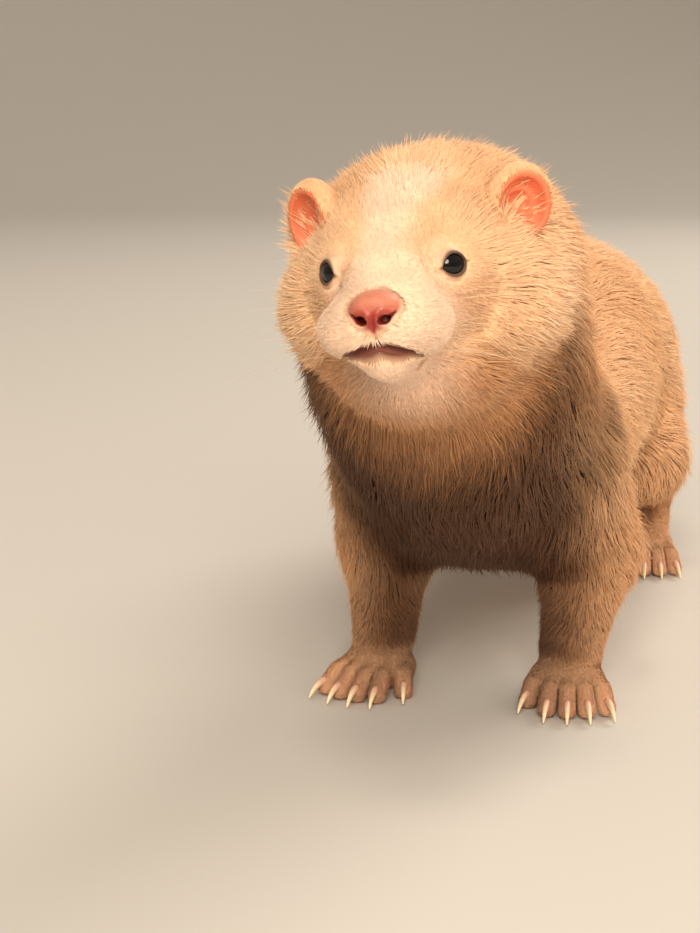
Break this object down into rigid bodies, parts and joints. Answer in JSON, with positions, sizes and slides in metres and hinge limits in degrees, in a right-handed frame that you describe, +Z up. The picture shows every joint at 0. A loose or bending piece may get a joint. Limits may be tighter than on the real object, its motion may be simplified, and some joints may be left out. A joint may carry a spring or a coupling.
{
  "type": "ferret",
  "caption": "Life-size ferret standing with its head raised: long low body, blunt muzzle, rounded ears, clawed paws and a tapered furry tail.",
  "frame": {"origin": "on the floor under the middle of the bounding box", "axes": "+Z up, -Y the way the animal faces, +X its left side"},
  "size_m": [0.0976, 0.4628, 0.156],
  "materials": {
    "coat_cream": "soft cream fur",
    "coat_gold": "long golden guard hair over cream underfur",
    "coat_brown": "warm brown fur",
    "paw": "short thin fur over pink skin",
    "bare_skin": "soft pink skin",
    "eye": "wet and dark",
    "claw": "pale horn"
  },
  "bodies": {
    "root": {"belly": "coat_gold", "chest": "coat_gold", "claw_fore_left_1": "claw", "claw_fore_left_2": "claw", "claw_fore_left_3": "claw", "claw_fore_left_4": "claw", "claw_fore_left_5": "claw", "claw_fore_right_1": "claw", "claw_fore_right_2": "claw", "claw_fore_right_3": "claw", "claw_fore_right_4": "claw", "claw_fore_right_5": "claw", "claw_hind_left_1": "claw", "claw_hind_left_2": "claw", "claw_hind_left_3": "claw", "claw_hind_left_4": "claw", "claw_hind_left_5": "claw", "claw_hind_right_1": "claw", "claw_hind_right_2": "claw", "claw_hind_right_3": "claw", "claw_hind_right_4": "claw", "claw_hind_right_5": "claw", "ear_left": "bare_skin", "ear_right": "bare_skin", "eye_left": "eye", "eye_right": "eye", "forearm_left": "coat_brown", "forearm_right": "coat_brown", "forepaw_left": "paw", "forepaw_right": "paw", "head": "coat_cream", "hind_foot_left": "paw", "hind_foot_right": "paw", "lower_jaw": "coat_cream", "neck": "coat_cream", "nose": "bare_skin", "rump": "coat_gold", "shank_left": "coat_brown", "shank_right": "coat_brown", "tail_base": "coat_brown", "tail_middle": "coat_brown", "tail_tip": "coat_brown", "thigh_left": "coat_brown", "thigh_right": "coat_brown", "upper_arm_left": "coat_brown", "upper_arm_right": "coat_brown"}
  },
  "joints": []
}
